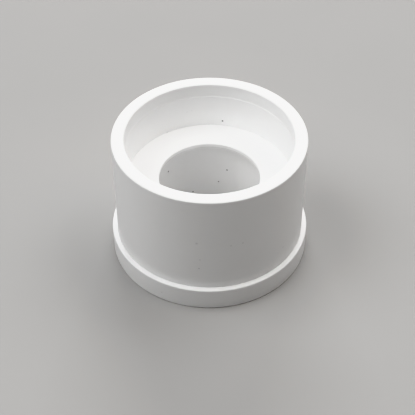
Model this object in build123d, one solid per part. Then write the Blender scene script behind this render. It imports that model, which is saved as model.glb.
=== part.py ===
"""Concentric reducing bush for cemented PVC-U pressure pipe: 63 mm spigot to 40 mm socket.

The axis is +Z. The origin is on the axis at the base, where the bush stands on its foot, so the
small pipe enters from below and the large fitting is pushed on from above.
Four pieces are cemented together: a sleeve, a collar round its foot, and a web and a hub inside it.
All sizes are in millimetres.
"""

import os

from build123d import *

# Large end: the sleeve goes into a 63 mm socket as far as the collar.
spigot_diameter = 63.0
spigot_wall = 4.4
insertion_length = 37.0
rim_round = 0.5

# Inside the sleeve's open end the bore is a little wider for a few millimetres below the rim.
mouth_relief = 0.2
mouth_relief_depth = 4.7

# Stop collar: slid down the sleeve on to a flange round its foot, which takes the thrust.
collar_step = 1.75
collar_height = 8.15
collar_round = 0.4
flange_step = 0.9
flange_thickness = 2.0

# Groove in the sleeve behind the collar's top edge. It takes up the cement that is squeezed out.
groove_depth = 0.5
groove_height = 1.0

# Small end: a 40 mm pipe goes up the socket until it meets the web's lip.
small_pipe_diameter = 40.0
socket_clearance = 0.1
socket_depth = 26.3
socket_wall = 3.4
lead_in_depth = 1.5
lead_in_width = 0.8

# Web: the flat ring over the socket. Its edge seats under a shoulder in the sleeve.
web_thickness = 1.75
lip_width = 3.35
lip_round = 0.4
shoulder_width = 0.8

# Hub: ribs centre the socket tube in the sleeve.
rib_count = 8
rib_thickness = 2.2
rib_foot_setback = 1.2

# Cement line between round faces that are pushed together. Flat faces meet.
cement_gap = 0.05

# Radii and heights that follow from the sizes above.
spigot_radius = spigot_diameter / 2
recess_radius = spigot_radius - spigot_wall
relief_radius = recess_radius + mouth_relief
flange_radius = spigot_radius + flange_step
collar_radius = spigot_radius + collar_step
seat_bore_radius = recess_radius + shoulder_width
insert_radius = seat_bore_radius - cement_gap
socket_radius = small_pipe_diameter / 2 + socket_clearance
hub_tube_radius = socket_radius + socket_wall
waterway_radius = socket_radius - lip_width
floor_height = socket_depth + web_thickness
rim_height = collar_height + insertion_length
relief_height = rim_height - mouth_relief_depth


def ring(inner_radius, outer_radius, bottom, top):
    """A plain ring about the axis, between two heights."""
    height = top - bottom
    outside = Cylinder(outer_radius, height, align=(Align.CENTER, Align.CENTER, Align.MIN))
    bore = Cylinder(inner_radius, height, align=(Align.CENTER, Align.CENTER, Align.MIN))
    return Pos(0, 0, bottom) * (outside - bore)


def edges_at(solid, radius, height):
    """The round edges of a solid that have this radius and lie at this height."""
    circles = solid.edges().filter_by(GeomType.CIRCLE)
    return circles.filter_by(
        lambda edge: abs(edge.radius - radius) < 1e-4 and abs(edge.center().Z - height) < 1e-4
    )


def spigot_sleeve():
    """Outer tube, flanged at its foot. Its bore narrows upwards once, over the web's seat."""
    seat = ring(seat_bore_radius, spigot_radius, 0, floor_height)
    recess = ring(recess_radius, spigot_radius, floor_height, relief_height)
    mouth = ring(relief_radius, spigot_radius, relief_height, rim_height)
    flange = ring(seat_bore_radius, flange_radius, 0, flange_thickness)
    groove = ring(spigot_radius - groove_depth, flange_radius, collar_height - groove_height, collar_height)
    sleeve = seat + recess + mouth + flange - groove
    rim = edges_at(sleeve, spigot_radius, rim_height) + edges_at(sleeve, relief_radius, rim_height)
    return fillet(rim, rim_round)


def stop_collar():
    """Ring round the sleeve's foot. Its lower end is bored out to go down over the flange."""
    lap = ring(spigot_radius + cement_gap, collar_radius, flange_thickness, collar_height)
    skirt = ring(flange_radius + cement_gap, collar_radius, 0, flange_thickness)
    collar = lap + skirt
    corners = edges_at(collar, collar_radius, collar_height) + edges_at(collar, collar_radius, 0)
    return fillet(corners, collar_round)


def reducing_web():
    """Flat ring that closes the sleeve down to the waterway. Its lip stops the small pipe."""
    web = ring(waterway_radius, insert_radius, socket_depth, floor_height)
    return fillet(edges_at(web, waterway_radius, floor_height), lip_round)


def socket_hub():
    """Socket tube with a lead-in at its mouth, and ribs out to the sleeve's bore."""
    rib_root_radius = socket_radius + socket_wall / 2
    rib_length = insert_radius - rib_root_radius
    rib_height = socket_depth - rib_foot_setback
    rib = Box(rib_length, rib_thickness, rib_height, align=(Align.MAX, Align.CENTER, Align.MAX))
    rib_zone = ring(rib_root_radius, insert_radius, 0, socket_depth)
    hub = ring(socket_radius, hub_tube_radius, 0, socket_depth)
    for turn in PolarLocations(0, rib_count):
        hub += rib_zone & (turn * Pos(insert_radius, 0, socket_depth) * rib)
    mouth_face = hub.faces().sort_by(Axis.Z)[0]
    mouth = edges_at(hub, socket_radius, 0)
    return chamfer(mouth, lead_in_width, lead_in_depth, reference=mouth_face)


pieces = {
    "spigot_sleeve": spigot_sleeve,
    "stop_collar": stop_collar,
    "reducing_web": reducing_web,
    "socket_hub": socket_hub,
}

os.makedirs("parts", exist_ok=True)
for name, make in pieces.items():
    export_step(make(), f"parts/{name}.step")
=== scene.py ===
"""Looks for a concentric PVC-U reducing bush: 63 mm spigot, 40 mm socket, standing on its foot."""

import math

import bmesh
import bpy
from mathutils import Matrix, Vector


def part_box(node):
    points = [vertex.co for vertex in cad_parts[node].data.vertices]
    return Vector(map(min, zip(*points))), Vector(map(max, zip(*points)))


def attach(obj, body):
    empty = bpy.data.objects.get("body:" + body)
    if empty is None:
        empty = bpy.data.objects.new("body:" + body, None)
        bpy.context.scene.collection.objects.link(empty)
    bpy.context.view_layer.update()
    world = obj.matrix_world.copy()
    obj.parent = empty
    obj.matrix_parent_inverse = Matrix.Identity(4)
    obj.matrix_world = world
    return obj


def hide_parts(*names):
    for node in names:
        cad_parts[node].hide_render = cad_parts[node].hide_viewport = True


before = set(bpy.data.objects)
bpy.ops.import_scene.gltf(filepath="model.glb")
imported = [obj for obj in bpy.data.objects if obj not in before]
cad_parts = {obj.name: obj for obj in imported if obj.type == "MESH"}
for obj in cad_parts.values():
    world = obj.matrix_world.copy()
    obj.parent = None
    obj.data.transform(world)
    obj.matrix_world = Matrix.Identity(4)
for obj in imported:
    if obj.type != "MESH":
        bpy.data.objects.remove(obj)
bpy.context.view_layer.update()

# Sleeve. One length of white unplasticised PVC tube, moulded round a steel core and left with the
# core's soft gloss. A flange round its foot carries the collar, and a shoulder in its bore the web.
MM = 0.001
WELD = 0.001 * MM
TURN_STEPS = 256
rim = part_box("spigot_sleeve")[1]
web_low, web_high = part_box("reducing_web")
collar_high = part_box("stop_collar")[1]
collar_step = 1.75
spigot_wall = 4.4
relief_width = 0.2
relief_depth = 4.7
relief_taper = 0.4
rim_round = 0.5
flange_thickness = 2.0
groove_depth = 0.5
groove_width = 1.0
cement_gap = 0.05
sink_depth = 0.04
sink_reach = 4.0
flange_radius = rim.x / MM
rim_height = rim.z / MM
floor_height = web_high.z / MM
collar_height = collar_high.z / MM
collar_radius = collar_high.x / MM
insert_radius = web_high.x / MM
spigot_radius = collar_radius - collar_step
recess_radius = spigot_radius - spigot_wall
relief_radius = recess_radius + relief_width
relief_height = rim_height - relief_depth
seat_bore_radius = insert_radius + cement_gap
groove_radius = spigot_radius - groove_depth
groove_bottom = collar_height - groove_width
sink_height = web_low.z / MM


def draw_half_section(name, corners):
    """Draws the outline of a turned wall in the XZ plane: one vertex, extruded from corner to corner."""
    bpy.ops.object.select_all(action="DESELECT")
    radius, height = corners[0]
    bpy.ops.mesh.primitive_plane_add(size=MM, location=(radius * MM, 0, height * MM))
    piece = bpy.context.object
    piece.name = name
    piece.data.name = name
    bpy.ops.object.transform_apply(location=True, rotation=True, scale=True)
    bpy.ops.object.mode_set(mode="EDIT")
    bpy.ops.mesh.merge(type="CENTER")
    for here, there in zip(corners, corners[1:] + corners[:1]):
        step = ((there[0] - here[0]) * MM, 0, (there[1] - here[1]) * MM)
        bpy.ops.mesh.extrude_region_move(TRANSFORM_OT_translate={"value": step})
    bpy.ops.mesh.select_all(action="SELECT")
    bpy.ops.mesh.remove_doubles(threshold=WELD)
    return piece


def choose(piece, wanted, mode="VERT"):
    """In edit mode, selects the vertices or faces whose middle passes a test on (r, z, angle)."""
    bpy.ops.mesh.select_mode(type=mode)
    bpy.ops.mesh.select_all(action="DESELECT")
    mesh = bmesh.from_edit_mesh(piece.data)
    for part in {"VERT": mesh.verts, "FACE": mesh.faces}[mode]:
        middle = part.co if mode == "VERT" else sum((v.co for v in part.verts), Vector()) / len(part.verts)
        part.select = wanted(middle.xy.length / MM, middle.z / MM, math.atan2(middle.y, middle.x))
    mesh.select_flush_mode()
    bmesh.update_edit_mesh(piece.data)


def round_corners(piece, radius, corners, segments=6):
    """Rounds the given corners of a half-section."""
    near = 0.005
    choose(piece, lambda r, z, a: any(math.hypot(r - c[0], z - c[1]) < near for c in corners))
    bpy.ops.mesh.bevel(offset=radius * MM, segments=segments, affect="VERTICES")


def turn(piece, angle=math.tau, steps=TURN_STEPS):
    """Spins the selected section about the axis."""
    bpy.ops.mesh.spin(steps=steps, angle=angle, center=(0, 0, 0), axis=(0, 0, 1))


def close_and_shade(piece, crease_angle=35):
    """Closes the seam where the spin met itself, turns the faces outwards and smooths the round ones."""
    bpy.ops.mesh.select_all(action="SELECT")
    bpy.ops.mesh.remove_doubles(threshold=WELD)
    bpy.ops.mesh.normals_make_consistent(inside=False)
    bpy.ops.object.mode_set(mode="OBJECT")
    bpy.ops.object.shade_smooth_by_angle(angle=math.radians(crease_angle))
    modifier = piece.modifiers.new("face_normals", "WEIGHTED_NORMAL")
    modifier.keep_sharp = True
    bpy.ops.object.modifier_apply(modifier=modifier.name)


def linear(hex_colour):
    """Turns an sRGB hex colour to the linear colour that a shader takes."""
    levels = [int(hex_colour[start:start + 2], 16) / 255 for start in (0, 2, 4)]
    return tuple(v / 12.92 if v <= 0.04045 else ((v + 0.055) / 1.055) ** 2.4 for v in levels) + (1,)


def add_node(tree, kind, settings=None, sockets=None):
    """Adds a node with its settings. Each socket is set to a value or linked from another node's output."""
    node = tree.nodes.new(kind)
    for name, value in (settings or {}).items():
        setattr(node, name, value)
    for name, value in (sockets or {}).items():
        if isinstance(value, bpy.types.NodeSocket):
            tree.links.new(value, node.inputs[name])
        else:
            node.inputs[name].default_value = value
    return node


def moulded_pvc(name, specks=(), painted_corner_shade=()):
    """White PVC-U as it leaves a polished steel mould, cemented up and handled a little.

    The compound isn't quite even, so its white drifts by a shade every few millimetres, and burnt
    compound leaves a few black specks. The steel gives a soft satin gloss, with a fine orange peel and
    dull patches where hands have been. The inside corners get painted shade: a broken dark line that
    stands in for the shadow there.
    specks: (radius, angle in degrees, height, diameter, strength) of each one on the surface, in mm.
    painted_corner_shade: (radius, height, width, strength, share of the way round) of each shaded corner,
    in mm.
    """
    white_drift, shade_breakup_size, handling, peel_width = 7 * MM, 2.2 * MM, 11 * MM, 0.9 * MM
    peel_height = 0.02 * MM
    material = bpy.data.materials.new(name)
    material.use_nodes = True
    tree = material.node_tree
    shader = tree.nodes["Principled BSDF"]
    place = add_node(tree, "ShaderNodeTexCoord").outputs["Object"]
    spread = add_node(tree, "ShaderNodeTexNoise", {}, {
        "Vector": place, "Scale": 1 / white_drift, "Detail": 3, "Roughness": 0.6})
    white = add_node(tree, "ShaderNodeMix", {"data_type": "RGBA"}, {
        "Factor": spread.outputs["Fac"], 6: linear("F7F7F7"), 7: linear("FAFAFA")})
    colour = white.outputs[2]

    # Painted shade in the corners: the distance from each one is taken in the section, on radius and height
    # alone.
    flat = add_node(tree, "ShaderNodeVectorMath", {"operation": "MULTIPLY"}, {0: place, 1: (1, 1, 0)})
    radius = add_node(tree, "ShaderNodeVectorMath", {"operation": "LENGTH"}, {0: flat.outputs[0]})
    height = add_node(tree, "ShaderNodeSeparateXYZ", {}, {0: place})
    section = add_node(tree, "ShaderNodeCombineXYZ", {}, {
        "X": radius.outputs["Value"], "Y": height.outputs["Z"]})
    shade_breakup = add_node(tree, "ShaderNodeTexNoise", {}, {
        "Vector": place, "Scale": 1 / shade_breakup_size, "Detail": 4, "Roughness": 0.7})
    for line_radius, line_height, width, strength, share in painted_corner_shade:
        clear_below = 0.66 - 0.3 * share
        gap = add_node(tree, "ShaderNodeVectorMath", {"operation": "DISTANCE"}, {
            0: section.outputs[0], 1: (line_radius * MM, line_height * MM, 0)})
        near = add_node(tree, "ShaderNodeMapRange", {}, {
            "Value": gap.outputs["Value"], "From Min": 0, "From Max": width * MM, "To Min": 1, "To Max": 0})
        patchy = add_node(tree, "ShaderNodeMapRange", {}, {
            "Value": shade_breakup.outputs["Fac"], "From Min": clear_below, "From Max": clear_below + 0.12,
            "To Min": 0, "To Max": strength})
        amount = add_node(tree, "ShaderNodeMath", {"operation": "MULTIPLY"}, {
            0: near.outputs[0], 1: patchy.outputs[0]})
        # Painted shade: near the corner the white is mixed towards a dark warm grey.
        colour = add_node(tree, "ShaderNodeMix", {"data_type": "RGBA"}, {
            "Factor": amount.outputs[0], 6: colour, 7: linear("5B544C")}).outputs[2]

    # Specks: each one is a small soft-edged ball of dark compound that the surface cuts through.
    for speck_radius, angle, speck_height, diameter, strength in specks:
        turned = math.radians(angle)
        middle = (speck_radius * math.cos(turned), speck_radius * math.sin(turned), speck_height)
        gap = add_node(tree, "ShaderNodeVectorMath", {"operation": "DISTANCE"}, {
            0: place, 1: tuple(value * MM for value in middle)})
        spot = add_node(tree, "ShaderNodeMapRange", {"interpolation_type": "SMOOTHSTEP"}, {
            "Value": gap.outputs["Value"], "From Min": 0.3 * diameter * MM, "From Max": 0.6 * diameter * MM,
            "To Min": strength, "To Max": 0})
        colour = add_node(tree, "ShaderNodeMix", {"data_type": "RGBA"}, {
            "Factor": spot.outputs[0], 6: colour, 7: linear("1E1B19")}).outputs[2]
    tree.links.new(colour, shader.inputs["Base Color"])

    # Gloss: satin from the polished mould, duller in patches from handling.
    hands = add_node(tree, "ShaderNodeTexNoise", {}, {
        "Vector": place, "Scale": 1 / handling, "Detail": 5, "Roughness": 0.65})
    gloss = add_node(tree, "ShaderNodeMapRange", {}, {
        "Value": hands.outputs["Fac"], "From Min": 0.35, "From Max": 0.7, "To Min": 0.36, "To Max": 0.5})
    tree.links.new(gloss.outputs[0], shader.inputs["Roughness"])
    shader.inputs["IOR"].default_value = 1.53

    # Real orange peel on a part this size is nearer 0.3 mm across. It is drawn coarser, so that it shows.
    peel = add_node(tree, "ShaderNodeTexNoise", {}, {
        "Vector": place, "Scale": 1 / peel_width, "Detail": 2, "Roughness": 0.5})
    bump = add_node(tree, "ShaderNodeBump", {}, {
        "Height": peel.outputs["Fac"], "Strength": 0.35, "Distance": peel_height})
    tree.links.new(bump.outputs[0], shader.inputs["Normal"])
    return material


# The thick shoulder cooled last and drew the outside in a little: a faint hollow all round at its height.
# The mouth is relieved for the first few millimetres, and a short taper leads down from it to the bore.
SINK_STEPS = 4
sink_mark = []
for step in range(-SINK_STEPS, SINK_STEPS + 1):
    share = step / SINK_STEPS
    depth = sink_depth * (1 + math.cos(math.pi * share)) / 2
    sink_mark.append((spigot_radius - depth, sink_height + share * sink_reach))

sleeve = draw_half_section("sleeve", [
    (seat_bore_radius, 0),
    (flange_radius, 0),
    (flange_radius, flange_thickness),
    (spigot_radius, flange_thickness),
    (spigot_radius, groove_bottom),
    (groove_radius, groove_bottom),
    (groove_radius, collar_height),
    (spigot_radius, collar_height),
    *sink_mark,
    (spigot_radius, rim_height),
    (relief_radius, rim_height),
    (relief_radius, relief_height),
    (recess_radius, relief_height - relief_taper),
    (recess_radius, floor_height),
    (seat_bore_radius, floor_height),
])
round_corners(sleeve, rim_round, [(spigot_radius, rim_height), (relief_radius, rim_height)])
bpy.ops.mesh.select_all(action="SELECT")
turn(sleeve)
# The relief's taper leans only 27 degrees from the wall, and its edges have to stay crisp.
close_and_shade(sleeve, crease_angle=25)
sleeve.data.materials.append(moulded_pvc(
    "pvc_u_moulded_sleeve",
    specks=[
        (recess_radius, 80.3, 30.0, 0.62, 1.0),
        (recess_radius, 106.6, 34.5, 0.4, 0.12),
        (recess_radius, 103.0, 34.7, 0.4, 0.12),
        (spigot_radius, -97.3, 27.9, 0.9, 0.14),
        (spigot_radius, -95.5, 20.7, 0.5, 0.2),
        (spigot_radius, -96.1, 16.8, 0.5, 0.28),
        (spigot_radius, -77.8, 26.4, 0.7, 0.12),
        (spigot_radius, -70.8, 26.6, 0.6, 0.16),
        (spigot_radius, -40.9, 15.5, 0.5, 0.2),
        (spigot_radius, 38.0, 31.0, 0.5, 0.5),
        (spigot_radius, 141.0, 19.5, 0.4, 0.7),
    ],
    # Painted shade in the corner at the recess floor and in the crease above the collar.
    painted_corner_shade=[
        (recess_radius, floor_height, 0.4, 0.3, 0.35),
        (spigot_radius, collar_height, 0.3, 0.22, 0.5),
    ],
))
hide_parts("spigot_sleeve")
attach(sleeve, "root")

# Stop collar. A moulded PVC ring, slid down the spigot and cemented down on to the sleeve's flange.
# The end of the large fitting's socket meets its top edge.
collar_round = 0.4
collar = draw_half_section("collar", [
    (flange_radius + cement_gap, 0),
    (collar_radius, 0),
    (collar_radius, collar_height),
    (spigot_radius + cement_gap, collar_height),
    (spigot_radius + cement_gap, flange_thickness),
    (flange_radius + cement_gap, flange_thickness),
])
round_corners(collar, collar_round, [(collar_radius, 0), (collar_radius, collar_height)])
bpy.ops.mesh.select_all(action="SELECT")
turn(collar)
close_and_shade(collar)
collar.data.materials.append(moulded_pvc(
    "pvc_u_moulded_collar",
    specks=[(collar_radius, -118.0, 3.4, 0.4, 0.25), (collar_radius, 64.0, 5.0, 0.5, 0.6)],
    # Painted shade in the crease where the collar's top meets the spigot.
    painted_corner_shade=[(spigot_radius, collar_height, 0.3, 0.22, 0.5)],
))
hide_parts("stop_collar")
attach(collar, "root")

# Web. A flat PVC ring, pushed up the sleeve from below until its edge meets the shoulder.
# It steps the bore down to the waterway, and its lip is the stop for the small pipe.
waterway_radius = 16.75
lip_round = 0.4
edge_break = 0.05
web_underside = web_low.z / MM
web = draw_half_section("web", [
    (waterway_radius, web_underside),
    (insert_radius, web_underside),
    (insert_radius, floor_height),
    (waterway_radius, floor_height),
])
round_corners(web, lip_round, [(waterway_radius, floor_height)])
round_corners(web, edge_break, [(waterway_radius, web_underside)], segments=2)
bpy.ops.mesh.select_all(action="SELECT")
turn(web)
close_and_shade(web)
web.data.materials.append(moulded_pvc(
    "pvc_u_moulded_web",
    specks=[(22.4, 41.0, floor_height, 0.4, 0.15)],
    # Painted shade at the recess floor's corner and along the lip's under edge, which faces down into the
    # shaded socket.
    painted_corner_shade=[
        (recess_radius, floor_height, 0.3, 0.3, 0.35),
        (waterway_radius, web_underside, 0.4, 0.35, 1.3),
    ],
))
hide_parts("reducing_web")
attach(web, "root")

# Hub. The small pipe's socket, moulded with eight ribs that centre it in the sleeve. The mouth has a
# lead-in, and the pockets between the ribs keep the walls an even thickness, as moulders like them.
RIB_COUNT = 8
rib_thickness = 2.2
rib_foot = 1.2
socket_radius = 20.1
socket_wall = 3.4
lead_in_width = 0.8
lead_in_depth = 1.5
mould_radius = 0.35
RIB_STEPS = 4
POCKET_STEPS = 28
hub_tube_radius = socket_radius + socket_wall
socket_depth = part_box("socket_hub")[1].z / MM
rib_turn = 2 * math.asin(rib_thickness / 2 / hub_tube_radius)
pocket_turn = math.tau / RIB_COUNT - rib_turn
hub = draw_half_section("hub", [
    (socket_radius + lead_in_width, 0),
    (hub_tube_radius, 0),
    (hub_tube_radius, rib_foot),
    (hub_tube_radius, socket_depth),
    (socket_radius, socket_depth),
    (socket_radius, lead_in_depth),
])
bpy.ops.mesh.select_all(action="SELECT")
bpy.ops.transform.rotate(value=-rib_turn / 2, orient_axis="Z", center_override=(0, 0, 0))
for rib in range(RIB_COUNT):
    turn(hub, rib_turn, RIB_STEPS)
    turn(hub, pocket_turn, POCKET_STEPS)
bpy.ops.mesh.select_all(action="SELECT")
bpy.ops.mesh.remove_doubles(threshold=WELD)
bpy.ops.mesh.normals_make_consistent(inside=False)
for rib in range(RIB_COUNT):
    heading = Matrix.Rotation(rib * math.tau / RIB_COUNT, 3, "Z") @ Vector((1, 0, 0))
    choose(hub, lambda r, z, a: (
        r > hub_tube_radius - 0.1
        and z > rib_foot
        and math.cos(a) * heading.x + math.sin(a) * heading.y > math.cos(rib_turn / 2)
    ), mode="FACE")
    reach = heading * (insert_radius - hub_tube_radius) * MM
    bpy.ops.mesh.extrude_region_move(TRANSFORM_OT_translate={"value": reach})
bpy.ops.object.mode_set(mode="OBJECT")
rounding = hub.modifiers.new("mould_radii", "BEVEL")
rounding.width = mould_radius * MM
rounding.segments = 3
rounding.limit_method = "ANGLE"
rounding.angle_limit = math.radians(25)
bpy.ops.object.modifier_apply(modifier=rounding.name)
bpy.ops.object.mode_set(mode="EDIT")
close_and_shade(hub)
hub.data.materials.append(moulded_pvc(
    "pvc_u_moulded_hub",
    specks=[
        (socket_radius, 135.3, 17.6, 0.6, 0.9),
        (socket_radius, 72.0, 13.9, 0.6, 0.8),
        (socket_radius, 80.7, 7.8, 0.55, 0.8),
        (socket_radius, 107.3, 3.5, 0.55, 0.8),
        (hub_tube_radius, 22.0, 9.0, 0.5, 0.7),
    ],
    # Painted shade where the socket's bore meets the web's underside, in the shadow under the lip.
    painted_corner_shade=[(socket_radius, socket_depth, 0.35, 0.8, 1.0)],
))
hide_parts("socket_hub")
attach(hub, "root")

# Studio. A matt painted board under six soft boxes, strongest from behind and from the left, so that
# the rim and ledges are bright and the side towards the camera is in soft shade. The camera looks
# down at 43 degrees with a long lens.
camera = bpy.data.objects.new("camera", bpy.data.cameras.new("camera"))
bpy.context.scene.collection.objects.link(camera)
bpy.context.scene.camera = camera
camera.data.sensor_width = 36
camera.data.lens = 86.28
camera_place = Vector((0, -0.24638, 0.24623))
pitch, yaw, roll = 0.7565, -0.0028, -0.003
forward = Vector((math.sin(yaw) * math.cos(pitch), math.cos(yaw) * math.cos(pitch), -math.sin(pitch)))
right = Vector((math.cos(yaw), -math.sin(yaw), 0))
up = right.cross(forward)
tilted_right = math.cos(roll) * right + math.sin(roll) * up
tilted_up = math.cos(roll) * up - math.sin(roll) * right
camera.matrix_world = Matrix((
    (tilted_right.x, tilted_up.x, -forward.x, camera_place.x),
    (tilted_right.y, tilted_up.y, -forward.y, camera_place.y),
    (tilted_right.z, tilted_up.z, -forward.z, camera_place.z),
    (0, 0, 0, 1),
))
camera.data.clip_start = 0.01

# The board's paint is a neutral grey-white with a slow drift in tone, and dead matt.
bpy.ops.object.select_all(action="DESELECT")
bpy.ops.mesh.primitive_plane_add(size=6)
floor = bpy.context.object
floor.name = "floor"
board = bpy.data.materials.new("matt_painted_board")
board.use_nodes = True
grain = add_node(board.node_tree, "ShaderNodeTexNoise", {}, {
    "Vector": add_node(board.node_tree, "ShaderNodeTexCoord").outputs["Object"],
    "Scale": 1 / (60 * MM), "Detail": 2})
tone = add_node(board.node_tree, "ShaderNodeMix", {"data_type": "RGBA"}, {
    "Factor": grain.outputs["Fac"], 6: linear("A09F9E"), 7: linear("A4A3A2")})
board_shader = board.node_tree.nodes["Principled BSDF"]
board.node_tree.links.new(tone.outputs[2], board_shader.inputs["Base Color"])
board_shader.inputs["Roughness"].default_value = 0.9
floor.data.materials.append(board)

# The backdrop is a pale wall that only the camera sees, so it adds no light of its own.
bpy.context.scene.world = bpy.data.worlds.new("studio")
bpy.context.scene.world.use_nodes = True
backdrop = bpy.context.scene.world.node_tree.nodes["Background"]
backdrop.inputs["Color"].default_value = (1, 1, 1, 1)
backdrop.inputs["Strength"].default_value = 0.6
for kind_of_ray in ("diffuse", "glossy", "transmission", "scatter"):
    setattr(bpy.context.scene.world.cycles_visibility, kind_of_ray, False)

# Soft boxes: name, azimuth and elevation in degrees, side in metres, power in watts, colour.
LIGHT_DISTANCE = 3.0
aim = Vector((0, 0, 0.02))
for name, azimuth, elevation, size, power, colour in [
    ("back_box", 90, 25, 1.67, 60.0, "FFFFFF"),
    ("left_box", 180, 55, 1.67, 41.7, "FDFEFF"),
    ("back_right_box", 45, 55, 1.67, 29.4, "FFFFFF"),
    ("right_box", 0, 55, 1.67, 22.3, "FFFAF4"),
    ("overhead_box", 0, 90, 0.67, 19.6, "FEFEFF"),
    ("front_left_box", 225, 55, 1.67, 19.8, "FFFEFB"),
]:
    lamp = bpy.data.objects.new(name, bpy.data.lights.new(name, "AREA"))
    lamp.data.size = size
    lamp.data.energy = power
    lamp.data.color = linear(colour)[:3]
    bpy.context.scene.collection.objects.link(lamp)
    level = math.cos(math.radians(elevation))
    lamp.location = LIGHT_DISTANCE * Vector((
        level * math.cos(math.radians(azimuth)),
        level * math.sin(math.radians(azimuth)),
        math.sin(math.radians(elevation)),
    ))
    lamp.rotation_euler = (aim - lamp.location).to_track_quat("-Z", "Y").to_euler()

# White walls facing each other pass the light to and fro, so the bore goes grey with fewer bounces.
bpy.context.scene.cycles.diffuse_bounces = 12
bpy.context.scene.view_settings.view_transform = "Khronos PBR Neutral"
